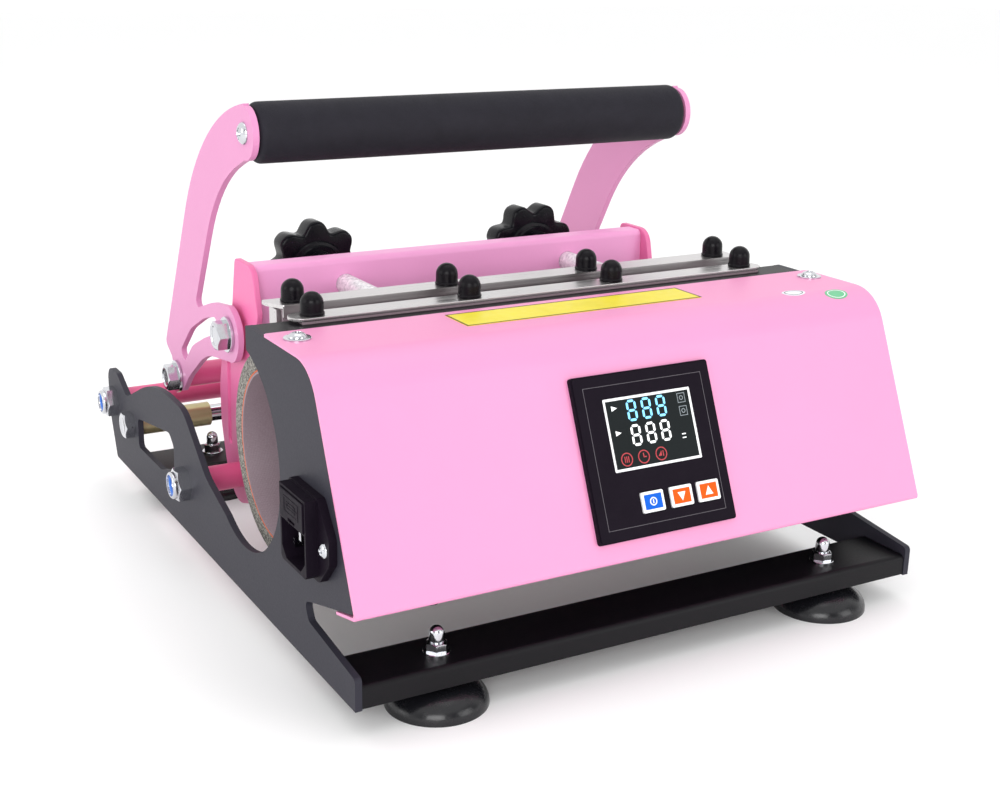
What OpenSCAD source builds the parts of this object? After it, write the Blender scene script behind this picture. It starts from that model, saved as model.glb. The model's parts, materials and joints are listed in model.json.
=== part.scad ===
// Mug heat press: a clamp-round heater for mugs and tumblers, worked by a toggle handle.
// Millimetres, +Z up, the control panel faces -Y, the mains inlet is on the -X side.
// Inside the modules y is measured from the front of the side plates and z from their lower edge.

/* [Frame] */
// Width over the two side plates
press_w = 285; // [282:1:290]
// Thickness of a side plate
plate_t = 3; // [2.5:0.5:3]
// Height of the side plates above the table
stand_h = 12.2; // [11:0.1:14]
// Height of the base channels above the lower edge of the side plates
channel_h = 10; // [9:0.5:11]
// Thickness of the folded black sheet
sheet_t = 1.6; // [1.2:0.1:2]

/* [Feet] */
// Radius of a suction cup
cup_r = 21.6; // [18:0.1:22]
// Distance of a foot from the middle plane
foot_x = 100.5; // [95:0.5:101]
// Distance of the front feet from the front of the side plates
foot_front = 14.2; // [13:0.1:16]
// Distance of the rear feet from the front of the side plates
foot_rear = 292.5; // [290:0.5:294]

/* [Heating chamber] */
// Inner radius of the heated sleeve
chamber_r = 37.5; // [34:0.5:37.5]
// Thickness of the silicone heater
heater_t = 2; // [1.5:0.5:2]
// Thickness of the sponge behind the heater
sponge_t = 8; // [6:0.5:8]
// Length of the heated sleeve
sleeve_len = 261; // [240:1:262]

/* [Cover] */
// Thickness of the pink cover sheet
cover_t = 1.2; // [1:0.1:1.2]
// Angle of the cover's front face to the table
front_angle = 66.7; // [66.4:0.1:67]

/* [Controller] */
// Width and height of the controller bezel
bezel = 70; // [69:0.5:72]
// How far the bezel stands off the cover
bezel_t = 2.6; // [2:0.1:3]
// How far a button stands off the bezel
button_out = 0.7; // [0.6:0.1:1]

/* [Handle] */
// Thickness of a handle arm
arm_t = 3; // [2.5:0.5:4.5]
// Outer face of a handle arm, from the middle plane
arm_x = 118.5; // [118:0.1:119]
// Radius of the foam grip
grip_r = 14; // [12:0.5:15]

/* [Pivots] */
// Radius of the pivot shafts and bolts
shaft_r = 4; // [3.5:0.1:4]
// Outer radius of the pink pivot tubes
tube_r = 6.5; // [6:0.1:6.5]
// Running clearance of a pivot, on the radius
running = 0.05; // [0.02:0.01:0.1]

/* [Adjusters] */
// Distance of an adjusting rod from the middle plane
rod_x = 63.5; // [60:0.5:66]
// Radius of an adjusting rod
rod_r = 5; // [4.5:0.1:5]
// Number of lobes on a star knob
lobes = 8; // [6:1:9]
// Overall radius of a star knob
knob_r = 25; // [22:0.5:25]

/* [Hidden] */
$fn = 64;

black_sheet = "#3b3b44";
pink = "#f7a9d4";
deep_pink = "#e2508f";
black_plastic = "#17171a";
zinc = "#d5d8dc";
gold_zinc = "#b9a768";

// Pivot points, as [y, z]
link_pivot = [333.5, 34.5];
arm_pivot = [290, 57];
lug_pivot = [203, 100.5];
swing_pivot = [205, 27];
cross_point = [300.5, 30];
grip_axis = [170, 201];
chamber = [114.5, 66.5];

plate_x = press_w / 2;
plate_in = plate_x - plate_t;
plate_len = 346.6;
y_mid = (plate_len + foot_front - cup_r) / 2;
top_z = 129;
opening_r = 48;
opening_at = [122, 72];

pusher_x = 113;
pusher_t = 3;
arm_in = arm_x - arm_t;
link_x = 76;
link_t = 4;
tube_len = 2 * plate_in - 0.6;

sleeve_x = sleeve_len / 2;
heater_r = chamber_r + heater_t;
sponge_r = heater_r + sponge_t;
lip_t = 1.2;
lip_half = 121;
rail_bolt_x = [-114, -38, 38, 114];
rail_bolt_r = 2.5;
front_rail_y = 105.2;
rear_rail_y = 127.5;
front_rail_z = 130.2;
rear_rail_z = 131.2;

rod_z = 123.6;
bar_front = 186;
bar_depth = 14;
bar_top = 136.5;
bar_h = 36;
knob_y = bar_front + bar_depth + 0.4;
knob_hub = 20.4;
knob_end = 33;
star_depth = 5;

// The cover's front face: lowest point, and the controller's place on it
front_low = [-1.8, 38.9];
bezel_at = [2.3, 44];
screen_at = [3.1, 52.8];
screen_size = [44.4, 31];
button_size = [11.2, 8.8];
button_v = 23;
set_u = -3.9;
down_u = 10.7;
up_u = 24.7;
button_gap = 0.25;

inlet_at = [39.8, 60.8];
inlet_screw_dy = 20;
inlet_mid = inlet_at + [0, 2];
inlet_block = [27, 32.5];
inlet_out = 8.2;
inlet_hole = [26.4, 32];

// Points of an arc round c
function arc(c, r, a0, a1, n = 24) =
    [for (i = [0:n]) c + r * [cos(a0 + (a1 - a0) * i / n), sin(a0 + (a1 - a0) * i / n)]];
function flat(p) = [p[0], p[1]];
function short_turn(a) = a > 180 ? a - 360 : a < -180 ? a + 360 : a;
// One corner of an outline, rounded to radius r
function corner(a, b, c, r) = r == 0 ? [b] :
    let (u = (a - b) / norm(a - b), v = (c - b) / norm(c - b), half = acos(u * v) / 2)
    let (o = b + (u + v) / norm(u + v) * r / sin(half))
    let (s = b + u * r / tan(half) - o, e = b + v * r / tan(half) - o)
    let (a0 = atan2(s[1], s[0]), sweep = short_turn(atan2(e[1], e[0]) - a0))
    arc(o, r, a0, a0 + sweep, max(3, ceil(abs(sweep) * sqrt(r) / 40)));
// A closed outline whose points are [y, z, corner radius]
function rounded(p) = [for (i = [0:len(p) - 1])
    let (k = len(p))
    each corner(flat(p[(i + k - 1) % k]), flat(p[i]), flat(p[(i + 1) % k]), p[i][2])];

// Puts the press on the table, centred
module placed() translate([0, -y_mid, stand_h]) children();
// Extrudes a [y, z] outline along +X from x0
module slab(x0, t) translate([x0, 0, 0]) rotate([90, 0, 90]) linear_extrude(t) children();
// A round bar along X through p
module bar_x(p, r, x0, x1) translate([x0, p[0], p[1]]) rotate([0, 90, 0]) cylinder(h = x1 - x0, r = r);
// A round bar along Y from y0 to y1
module bar_y(x, z, r, y0, y1) translate([x, y0, z]) rotate([-90, 0, 0]) cylinder(h = y1 - y0, r = r);
module both_sides() for (s = [-1, 1]) scale([s, 1, 1]) children();
// Local axes on the cover's front face: X across, Y up the slope, Z outwards
module on_front() translate([0, front_low[0], front_low[1]]) rotate([front_angle, 0, 0]) children();
module rounded_box(size, r) linear_extrude(size[2])
    polygon(rounded([for (c = [[-1, -1], [1, -1], [1, 1], [-1, 1]])
        [c[0] * size[0] / 2, c[1] * size[1] / 2, r]]));

// ---- Side plates ----
// Where the cover's front face is at height z, measured inwards from its outer face
function front_y(z, inwards) =
    front_low[0] + (z - front_low[1]) / tan(front_angle) + inwards / sin(front_angle);
plate_outline = [
    [0.4, 0, 0], [337, 0, 2], [346.3, 24, 8], [plate_len, 52, 8.5], [327, 52, 7],
    [311, 44, 0], [307, 44, 0], [255, 66, 120], [206, 64.5, 22], [174, 39.5, 20], [146, 30.4, 0],
    [opening_at[0], opening_at[1], 0], [109.6, 118, 0], [109.6, top_z, 1],
    [front_y(top_z, cover_t), top_z, 20], [front_y(41, cover_t), 41, 1.5],
    [41.4, 29.4, 0], [50.4, 26.8, 3.2], [46.4, 19.2, 3.4],
    [0.2, 14, 2]
];
window_outline = [
    [288.6, 36.5, 4], [231, 45.5, 5], [223.8, 40, 5], [225.5, 27, 5], [248, 20.2, 6], [289.5, 20.2, 3]
];

module side_plate() slab(-plate_x, plate_t) difference() {
    polygon(rounded(plate_outline));
    polygon(rounded(window_outline));
    translate(opening_at) circle(r = opening_r, $fn = 128);
    for (p = [link_pivot, swing_pivot, cross_point])
        translate(p) circle(r = shaft_r + running);
}
module left_side_plate() color(black_sheet) placed() difference() {
    side_plate();
    slab(-plate_x - 1, plate_t + 2) translate(inlet_mid) square(inlet_hole, center = true);
    for (s = [-1, 1])
        bar_x(inlet_at + [s * inlet_screw_dy, 0], 1.6, -plate_x - 1, -plate_in + 1);
}
module right_side_plate() color(black_sheet) placed() mirror([1, 0, 0]) side_plate();

// ---- Base channels ----
module channel(y0, y1) slab(-plate_in, 2 * plate_in) difference() {
    polygon(rounded([[y0, 0.4, 0], [y0, channel_h, 2.5], [y1, channel_h, 2.5], [y1, 0.4, 0]]));
    polygon(rounded([[y0 + sheet_t, 0.3, 0], [y0 + sheet_t, channel_h - sheet_t, 0.9],
        [y1 - sheet_t, channel_h - sheet_t, 0.9], [y1 - sheet_t, 0.3, 0]]));
}
module foot_holes(y) for (s = [-1, 1])
    translate([s * foot_x, y, 0]) cylinder(h = channel_h + 1, r = stud_r + 0.1);
module front_base_channel() color(black_sheet) placed() difference() {
    channel(0.8, 30);
    foot_holes(foot_front);
}
module rear_base_channel() color(black_sheet) placed() difference() {
    channel(272, 309.5);
    foot_holes(foot_rear);
}

// ---- Sheet parts of the upper frame ----
shield_y = 61.6;
shelf_end = 108.2;
return_slope = (39.9 - 35.6) / 17.3;
// Height of the upper face of the cover's bottom return
function return_z(y) = 39.9 - return_slope * y;
module at_return_screws() for (s = [-1, 1])
    translate([s * 105, 9, return_z(9) - cover_t - 0.15]) rotate([180 - atan(return_slope), 0, 0]) children();
module rail_holes(y, z) for (x = rail_bolt_x)
    translate([x, y, z - 24]) cylinder(h = 48, r = rail_bolt_r + running);
module top_shelf() color(black_sheet) placed() difference() {
    slab(-plate_in, 2 * plate_in) translate([shield_y, top_z - sheet_t])
        square([shelf_end - shield_y, sheet_t]);
    rail_holes(front_rail_y, top_z);
    for (s = [-1, 1]) translate([s * 133, 74.4, top_z - 3]) cylinder(h = 6, r = 2);
}
module heat_shield() color(zinc) placed()
    slab(-plate_in, 2 * plate_in) translate([shield_y, 26]) square([1.6, top_z - 26 - sheet_t]);
// The panel lies on the cover's bottom return and rises with it
module bottom_panel() color(black_sheet) placed() difference() {
    slab(-plate_in, 2 * plate_in) polygon([
        [6, return_z(6) + 0.1], [shield_y, return_z(shield_y) + 0.1],
        [shield_y, return_z(shield_y) + sheet_t], [6, return_z(6) + sheet_t]]);
    at_return_screws() cylinder(h = 12, r = 1.6, center = true);
}

// ---- Pink cover ----
module cover_profile() polygon(rounded([
    [88, top_z + cover_t, 0], [front_y(top_z + cover_t, 0), top_z + cover_t, 20 + cover_t],
    [front_low[0], front_low[1], 1.6], [17, return_z(17) - cover_t, 0], [17.3, return_z(17.3), 0],
    [front_y(return_z(0), cover_t), return_z(0), 1.4],
    [front_y(top_z, cover_t), top_z, 20], [88, top_z, 0]]));
module front_cover() color(pink) placed() difference() {
    slab(-plate_x, press_w) cover_profile();
    on_front() translate([bezel_at[0], bezel_at[1], -5]) rounded_box([bezel - 3, bezel - 3, 10], 1);
    for (s = [-1, 1]) translate([s * 133, 74.4, top_z - 1]) cylinder(h = 4, r = 2);
    at_return_screws() cylinder(h = 12, r = 1.6, center = true);
    for (s = [-1, 1]) translate([s * (plate_x + 0.4), 89.4, top_z - 1])
        rotate([0, 0, 45]) cube([4, 4, 6], center = true);
}
module dome_screw(r, h, shank_r, shank) union() {
    rotate_extrude() polygon(concat([[0, 0]], arc([0, 0], r, 0, 90, 10) * [[1, 0], [0, h / r]]));
    translate([0, 0, -shank]) cylinder(h = shank + 0.1, r = shank_r);
}
module cover_screws() color(zinc) placed() {
    for (s = [-1, 1]) translate([s * 133, 74.4, top_z + cover_t]) {
        cylinder(h = 0.8, r = 5.8);
        translate([0, 0, 0.8]) dome_screw(3.9, 2.3, 1.9, 6);
    }
    at_return_screws() dome_screw(3.6, 2.6, 1.5, 4);
}

// ---- Controller ----
// Height of the circuit board's front, below the cover's face
board_z = -6.4;
module button_places() for (u = [set_u, down_u, up_u]) translate([u, button_v, 0]) children();
module controller_bezel() color(black_plastic) placed() on_front() difference() {
    union() {
        translate([bezel_at[0], bezel_at[1], 0]) rounded_box([bezel, bezel, bezel_t - 0.7], 1.2);
        translate([bezel_at[0], bezel_at[1], bezel_t - 0.8]) rounded_box([bezel - 1.6, bezel - 1.6, 0.8], 1);
    }
    translate([screen_at[0], screen_at[1], -1])
        rounded_box([screen_size[0], screen_size[1], bezel_t + 2], 0.6);
    button_places() translate([0, 0, -1])
        rounded_box([button_size[0] + 2 * button_gap, button_size[1] + 2 * button_gap, bezel_t + 2], 0.8);
}
module controller_screen() color("#0c1016") placed() on_front()
    translate([screen_at[0], screen_at[1], board_z])
        rounded_box([screen_size[0] - 0.1, screen_size[1] - 0.1, bezel_t - 0.3 - board_z], 0.5);
module controller_housing() color(black_plastic) placed() on_front()
    translate([bezel_at[0], bezel_at[1], -34]) difference() {
        rounded_box([bezel - 4, bezel - 4, 34], 1);
        translate([0, 0, 2]) rounded_box([bezel - 8, bezel - 8, 40], 0.6);
    }
module controller_board() color("#2f6b45") placed() on_front()
    union() {
        translate([bezel_at[0], bezel_at[1], board_z - 1.6]) rounded_box([bezel - 9, bezel - 9, 1.6], 1);
        button_places() translate([0, 0, board_z - 0.1]) cylinder(h = 3.5, r = 2);
    }
module push_button(u) on_front() translate([u, button_v, -2.2]) union() {
    translate([0, 0, 2.4]) rounded_box([button_size[0], button_size[1], bezel_t + button_out - 0.2], 0.7);
    cylinder(h = 2.6, r = 2);
}
module set_button() color("#3f7fd0") placed() push_button(set_u);
module down_button() color("#f0702c") placed() push_button(down_u);
module up_button() color("#f0702c") placed() push_button(up_u);
module relay_module() color("#d9dadc") placed() translate([62, 38, 52]) difference() {
    cube([45, 23.5, 28]);
    for (x = [6, 39], z = [5, 23]) translate([x, -1, z]) rotate([-90, 0, 0]) cylinder(h = 5, r = 2);
}
module terminal_block() color("#e8e4d4") placed() translate([-108, 45, 84]) difference() {
    cube([52, 16.5, 14]);
    for (i = [0:4]) translate([6 + 10 * i, 6, 4]) cylinder(h = 12, r = 2.6);
}

// ---- Mains inlet ----
module inlet_outline(w, h, chamfer) polygon([
    [-w / 2, -h / 2 + chamfer], [-w / 2 + chamfer, -h / 2], [w / 2 - chamfer, -h / 2],
    [w / 2, -h / 2 + chamfer], [w / 2, h / 2], [-w / 2, h / 2]]);
drawer_h = 12.6;
drawer_top = inlet_mid[1] + inlet_block[1] / 2 - 1.2;
socket_h = 16.4;
socket_z = inlet_mid[1] - inlet_block[1] / 2 + socket_h / 2 + 1.6;
module pin_places() for (p = [[-7, -1.5], [0, 3.5], [7, -1.5]])
    translate([-plate_x - inlet_out + 3, inlet_at[0] + p[0] - 1, socket_z + p[1] - 2]) children();
module inlet_housing() color(black_plastic) placed() difference() {
    union() {
        slab(-plate_x - 3.4, 3.4) translate(inlet_at + [0, 1.6]) polygon(rounded([
            [-25, -6.5, 4], [-14.5, -17.5, 4], [14.5, -17.5, 4], [25, -6.5, 4],
            [25, 4, 4], [14.5, 17.5, 3], [-14.5, 17.5, 3], [-25, 4, 4]]));
        slab(-plate_x - inlet_out, inlet_out) translate(inlet_mid)
            inlet_outline(inlet_block[0], inlet_block[1], 1.5);
        slab(-plate_x - 0.1, 30) translate(inlet_mid)
            square(inlet_hole - [0.6, 0.6], center = true);
    }
    pin_places() cube([40, 2, 4]);
    slab(-plate_x - inlet_out - 1, 20) translate([inlet_at[0], socket_z]) inlet_outline(24, socket_h, 4.5);
    slab(-plate_x - inlet_out - 1, 24) translate([inlet_at[0] - 12.1, drawer_top - drawer_h])
        square([24.2, drawer_h]);
    for (s = [-1, 1])
        bar_x(inlet_at + [s * inlet_screw_dy, 0], 1.6, -plate_x - 6, -plate_x + 1);
}
module inlet_pins() color(zinc) placed() pin_places() cube([40, 2, 4]);
module fuse_drawer() color("#26262b") placed()
    translate([-plate_x - inlet_out - 0.6, inlet_at[0] - 11.9, drawer_top - drawer_h + 0.2]) difference() {
        cube([22, 23.8, drawer_h - 0.4]);
        translate([5, 3, 2]) cube([15, 17.8, drawer_h]);
        translate([-0.5, 8.4, -0.5]) cube([1.6, 7, 2.2]);
    }
module inlet_screws() color(zinc) placed() for (s = [-1, 1])
    translate([-plate_x - 3.4, inlet_at[0] + s * inlet_screw_dy, inlet_at[1]])
        rotate([0, -90, 0]) dome_screw(3.2, 1.8, 1.5, 7);

// ---- Clamp rails ----
module rail_end_strip(len, w, t, ends) linear_extrude(t)
    polygon(rounded([for (c = [[-1, -1], [1, -1], [1, 1], [-1, 1]]) [c[0] * len / 2, c[1] * w / 2, ends]]));
module front_clamp_rail() color(zinc) placed() difference() {
    translate([0, front_rail_y - 0.6, front_rail_z]) rail_end_strip(250, 12.6, 1.4, 6);
    rail_holes(front_rail_y, front_rail_z);
}
module rail_bolts(y, z0, z1) for (x = rail_bolt_x) translate([x, y, z0]) union() {
    cylinder(h = z1 - z0, r = rail_bolt_r);
    cylinder(h = 3, r = 3.6, $fn = 6);
}
module rail_caps(y, z) for (x = rail_bolt_x) translate([x, y, z]) difference() {
    rotate_extrude() polygon(concat([[0, 0], [5.5, 0], [5.5, 4.6]], arc([0, 4.6], 5.3, 0, 90, 12)));
    translate([0, 0, -1]) cylinder(h = 6.4, r = rail_bolt_r);
}
module front_rail_bolts() color(zinc) placed()
    rail_bolts(front_rail_y, top_z - sheet_t - 3, front_rail_z + 6.4);
module front_rail_caps() color(black_plastic) placed() rail_caps(front_rail_y, front_rail_z + 1.4);
module rear_clamp_rail() color(zinc) placed() difference() {
    union() {
        translate([0, rear_rail_y, rear_rail_z]) linear_extrude(1.6) polygon(rounded([
            [-126, 2, 1.5], [-121, -6.9, 1], [121, -6.9, 1],
            [126, 2, 1.5], [126, 7.1, 1], [-126, 7.1, 1]]));
        translate([-121, rear_rail_y - 6.9, 127.2]) cube([242, 1.2, 5]);
        translate([-122.5, 125.4, 116.5]) cube([245, 8.8, 13.5]);
    }
    rail_holes(rear_rail_y, rear_rail_z);
    for (s = [-1, 1]) bar_y(s * rod_x, rod_z, rod_r - 1, 126, 140);
}
module rear_rail_bolts() color(zinc) placed() rail_bolts(rear_rail_y, 113.5, rear_rail_z + 1.6 + 5);
module rear_rail_caps() color(black_plastic) placed() rail_caps(rear_rail_y, rear_rail_z + 1.6);

// ---- Heated sleeve, in a front and a rear half ----
seam_front = 279;
seam_rear = 287;
front_lip_y = 108.4;
rear_lip_y = 122;
module half_ring(r0, r1, a0, a1) translate(chamber) intersection() {
    difference() {
        circle(r = r1);
        circle(r = r0);
    }
    polygon(concat([[0, 0]], arc([0, 0], 2 * r1, a0, a1, 8)));
}
front_top = 90 + asin((chamber[0] - front_lip_y - heater_t) / chamber_r);
rear_top = 90 - asin((rear_lip_y - chamber[0]) / chamber_r);
module heater_front() color("#b5532f") placed() difference() {
    union() {
        slab(-sleeve_x, sleeve_len) half_ring(chamber_r, heater_r, front_top, seam_front);
        slab(-lip_half, 2 * lip_half) difference() {
            union() {
                translate([front_lip_y, 103]) square([heater_t, front_rail_z - 103]);
                translate([98.8, top_z]) square([front_lip_y + heater_t - 98.8, lip_t]);
            }
            translate(chamber) circle(r = chamber_r + 1, $fn = 128);
        }
    }
    rail_holes(front_rail_y, front_rail_z);
}
module sponge_front() color("#77756f") placed() slab(-sleeve_x, sleeve_len)
    half_ring(heater_r, sponge_r, front_top + 8, seam_front);
module heater_rear() color("#b5532f") placed() difference() {
    union() {
        slab(-sleeve_x, sleeve_len) half_ring(chamber_r, heater_r, seam_rear - 360, rear_top);
        slab(-lip_half, 2 * lip_half) difference() {
            union() {
                translate([rear_lip_y, 103]) square([heater_t, rear_rail_z - 103]);
                translate([rear_lip_y, rear_rail_z - lip_t]) square([11, lip_t]);
            }
            translate(chamber) circle(r = chamber_r + 1, $fn = 128);
        }
    }
    rail_holes(rear_rail_y, rear_rail_z);
}
module sponge_rear() color("#77756f") placed() slab(-sleeve_x, sleeve_len)
    half_ring(heater_r, sponge_r, seam_rear - 360, rear_top - 12);

// ---- Feet ----
module at_feet() for (x = [-foot_x, foot_x], y = [foot_front, foot_rear]) translate([x, y, 0]) children();
stud_r = 2.5;
module suction_cups() color(black_plastic) placed() at_feet() difference() {
    rotate_extrude() polygon(concat([[0, -8], [6, -8.6], [14, -10.6], [cup_r - 2.4, -stand_h],
        [cup_r, -stand_h]], arc([0, 0], 1, 0, 90, 12) * [[cup_r - 7.4, 0], [0, 9.6]] +
        [for (i = [0:12]) [7.4, 0.8 - stand_h]],
        [[7.4, channel_h - sheet_t], [0, channel_h - sheet_t]]));
    translate([0, 0, -5]) cylinder(h = 20, r = stud_r);
}
module foot_studs() color(zinc) placed() at_feet() translate([0, 0, -5]) cylinder(h = 22, r = stud_r);
module foot_nuts() color(zinc) placed() at_feet() translate([0, 0, channel_h]) difference() {
    union() {
        cylinder(h = 0.9, r = 5.8);
        cylinder(h = 4.8, r = 4.6, $fn = 6);
        cylinder(h = 8.6, r = 3.3);
        translate([0, 0, 8.5]) dome_screw(3.3, 3.4, 3.3, 1);
    }
    translate([0, 0, -1]) cylinder(h = 8, r = stud_r);
}

// ---- Shafts and their fasteners ----
module through_shaft(p) bar_x(p, shaft_r, -plate_x - 7, plate_x + 7);
module link_shaft() color(zinc) placed() through_shaft(link_pivot);
module swing_shaft() color(zinc) placed() through_shaft(swing_pivot);
module hex_x(p, r, x0, x1) translate([x0, p[0], p[1]]) rotate([0, 90, 0])
    cylinder(h = x1 - x0, r = r, $fn = 6);
module lock_nut(p) difference() {
    union() {
        hex_x(p, 8.7, plate_x, plate_x + 6.2);
        bar_x(p, 6.8, plate_x + 6, plate_x + 9);
    }
    bar_x(p, shaft_r, plate_x - 1, plate_x + 7);
}
module shaft_nuts() color(zinc) placed() both_sides() for (p = [link_pivot, swing_pivot]) lock_nut(p);
cross_r = 4.7;
module cross_shaft() color(zinc) placed() bar_x(cross_point, cross_r, -plate_in, plate_in);
module cross_shaft_sleeves() color(gold_zinc) placed() both_sides() difference() {
    bar_x(cross_point, 6.6, 99.4, plate_in);
    bar_x(cross_point, cross_r, 99, plate_in + 1);
}
module cross_shaft_bolts() color(zinc) placed() both_sides() union() {
    hex_x(cross_point, 7.5, plate_x, plate_x + 5.5);
    bar_x(cross_point, shaft_r, plate_in, plate_x + 0.1);
}
// A hex bolt whose head stands outside a handle arm
module arm_bolt(p, x0) union() {
    bar_x(p, shaft_r, x0, arm_x + 1.8);
    bar_x(p, 8.8, arm_x + 0.3, arm_x + 1.7);
    hex_x(p, 7.5, arm_x + 1.6, arm_x + 7.4);
}

// ---- Labels ----
module label_plate() color("#ecd813") placed()
    translate([-1.5, 72, top_z + cover_t]) rounded_box([121, 21, 0.3], 0.5);
module oval_label(x, y) translate([x, y, top_z + cover_t]) scale([1, 0.62, 1]) cylinder(h = 0.25, r = 6.5);
module oval_labels() color("#e9e2ee") placed() {
    oval_label(103.5, 57);
    oval_label(126, 57);
}

// ---- Pusher frame: swings on the lower front pivot ----
pusher_outline = [
    [189.5, 16, 12], [186, 60, 40], [181, 104, 12], [176.5, 114, 6], [182, bar_top + 0.8, 9],
    [206, bar_top + 0.8, 3], [214, 106, 20], [229, 90, 20], [236.5, 66, 30], [236.5, 45, 30],
    [229, 20, 14], [216, 7.5, 14]
];
groove_top = [220.5, 84];
groove_end = [223.5, 40];
module pusher_plate() difference() {
    union() {
        slab(-pusher_x, pusher_t) polygon(rounded(pusher_outline));
        bar_x(lug_pivot, 8, 0.3 - arm_in, -pusher_x + 0.1);
    }
    bar_x(swing_pivot, tube_r, -pusher_x - 1, -pusher_x + pusher_t + 1);
    bar_x(lug_pivot, shaft_r, -pusher_x - 3, -pusher_x + pusher_t + 1);
    for (p = [groove_top, groove_end]) bar_x(p, 2.6, -pusher_x - 0.1, -pusher_x + 1.4);
    slab(-pusher_x - 0.1, 1.5) polygon([groove_top - [2.6, 0], groove_top + [2.6, 0],
        groove_end + [2.6, 0], groove_end - [2.6, 0]]);
}
module left_pusher_plate() color(pink) placed() pusher_plate();
module right_pusher_plate() color(pink) placed() mirror([1, 0, 0]) pusher_plate();
module pusher_bar() color(pink) placed() difference() {
    slab(-pusher_x + pusher_t, 2 * (pusher_x - pusher_t)) difference() {
        polygon(rounded([[bar_front, bar_top - bar_h, 2.5], [bar_front, bar_top, 3],
            [bar_front + bar_depth, bar_top, 3], [bar_front + bar_depth, bar_top - bar_h, 2.5]]));
        translate([bar_front + 2.5, bar_top - bar_h + 2.5]) square([bar_depth - 5, bar_h - 5]);
    }
    for (s = [-1, 1]) bar_y(s * rod_x, rod_z, rod_r + running, bar_front - 1, bar_front + bar_depth + 1);
}
module pusher_tube() color(deep_pink) placed() difference() {
    bar_x(swing_pivot, tube_r, -tube_len / 2, tube_len / 2);
    bar_x(swing_pivot, shaft_r + running, -plate_x, plate_x);
}
module lug_bolts() color(zinc) placed() both_sides() arm_bolt(lug_pivot, pusher_x - pusher_t);

// ---- Adjusters ----
module adjusting_rods() color("#c9cbce") placed() for (s = [-1, 1]) union() {
    bar_y(s * rod_x, rod_z, rod_r, 134.2, 221);
    bar_y(s * rod_x, rod_z, rod_r - 1, 126, 135);
}
// Outline of the star knob's lobes, with r to their tips
function star(r) = [for (i = [0:12 * lobes - 1]) let (a = 30 * i / lobes)
    (r - star_depth * (1 - cos(lobes * a)) / 2) * [sin(a), cos(a)]];
module star_slice(z0, z1, r) translate([0, 0, z0]) linear_extrude(z1 - z0) polygon(star(r));
module star_knob(x, turn) translate([x, knob_y, rod_z]) rotate([-90, turn, 0]) difference() {
    union() {
        cylinder(h = knob_hub + 0.1, r = 10.5);
        star_slice(knob_hub, knob_end, knob_r - 1.2);
        star_slice(knob_hub + 1.2, knob_end - 1.2, knob_r);
        translate([0, 0, knob_end - 0.1]) cylinder(h = 0.9, r = 8);
    }
    translate([0, 0, -1]) cylinder(h = knob_end - 4, r = rod_r + running);
}
module left_star_knob() color(black_plastic) placed() star_knob(-rod_x, 0);
module right_star_knob() color(black_plastic) placed() star_knob(rod_x, 180 / lobes);

// ---- Handle ----
arm_outline = [
    [165, 190.8, 0], [212, 173.7, 96], [255.5, 102, 3], [226, 111.5, 40],
    [203, 114.5, 0], [203, 86.5, 0], [240, 81.5, 60], [270, 62, 40], [283, 50.5, 0],
    [290, 48.8, 0], [298.3, 58, 0], [299.5, 65.5, 4], [310.4, 71.5, 3],
    [233, 203.4, 130], [170, 214.2, 0]
];
// Crescent between the two arches of the front lug
crescent = [[218, 98, 4], [242, 89.5, 40], [262, 81, 30], [276, 69, 2.5],
    [283.5, 73, 2.5], [264, 89.5, 40], [240, 100.5, 60], [222, 105, 4]];
module handle_arm() difference() {
    union() {
        slab(-arm_x, arm_t) polygon(rounded(arm_outline));
        bar_x(grip_axis, 12.3, -arm_x, -arm_x + arm_t);
        bar_x(lug_pivot, 14, -arm_x, -arm_x + arm_t);
        bar_x(arm_pivot, 8, -arm_x, -arm_x + arm_t);
    }
    slab(-arm_x - 1, arm_t + 2) polygon(rounded(crescent));
    bar_x(arm_pivot, shaft_r + 2.3, -arm_x - 1, 0);
    bar_x(lug_pivot, shaft_r + running, -arm_x - 1, 0);
    bar_x(grip_axis, 3.05, -arm_x - 1, 0);
}
module left_handle_arm() color(pink) placed() handle_arm();
module right_handle_arm() color(pink) placed() mirror([1, 0, 0]) handle_arm();
module grip_tube() color(deep_pink) placed() difference() {
    bar_x(grip_axis, 10.5, -arm_in, arm_in);
    bar_x(grip_axis, 3, -arm_x, -arm_in + 14);
    bar_x(grip_axis, 3, arm_in - 14, arm_x);
    bar_x(grip_axis, 8, -arm_in + 16, arm_in - 16);
}
foam_len = 2 * arm_in - 1.2;
module grip_foam() color("#2b2b2f") placed()
    translate([-foam_len / 2, grip_axis[0], grip_axis[1]]) rotate([0, 90, 0])
        rotate_extrude($fn = 96) polygon(concat([[10.5, 0], [grip_r - 2.5, 0]],
            arc([grip_r - 4, 4], 4, -68, 0, 8), arc([grip_r - 4, foam_len - 4], 4, 0, 68, 8),
            [[grip_r - 2.5, foam_len], [10.5, foam_len]]));
module grip_screws() color(zinc) placed() both_sides()
    translate([arm_x, grip_axis[0], grip_axis[1]]) rotate([0, 90, 0]) dome_screw(5.2, 3, 3, 16);

// ---- Link ----
link_len = norm(arm_pivot - link_pivot);
link_dir = atan2(arm_pivot[1] - link_pivot[1], arm_pivot[0] - link_pivot[0]);
module link_rear_tube() color(deep_pink) placed() difference() {
    bar_x(link_pivot, tube_r, -tube_len / 2, tube_len / 2);
    bar_x(link_pivot, shaft_r + running, -plate_x, plate_x);
}
module link_front_tube() color(deep_pink) placed() difference() {
    bar_x(arm_pivot, tube_r, -arm_in + 0.5, arm_in - 0.5);
    bar_x(arm_pivot, shaft_r, -arm_x, -arm_in + 22);
    bar_x(arm_pivot, shaft_r, arm_in - 22, arm_x);
}
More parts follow.
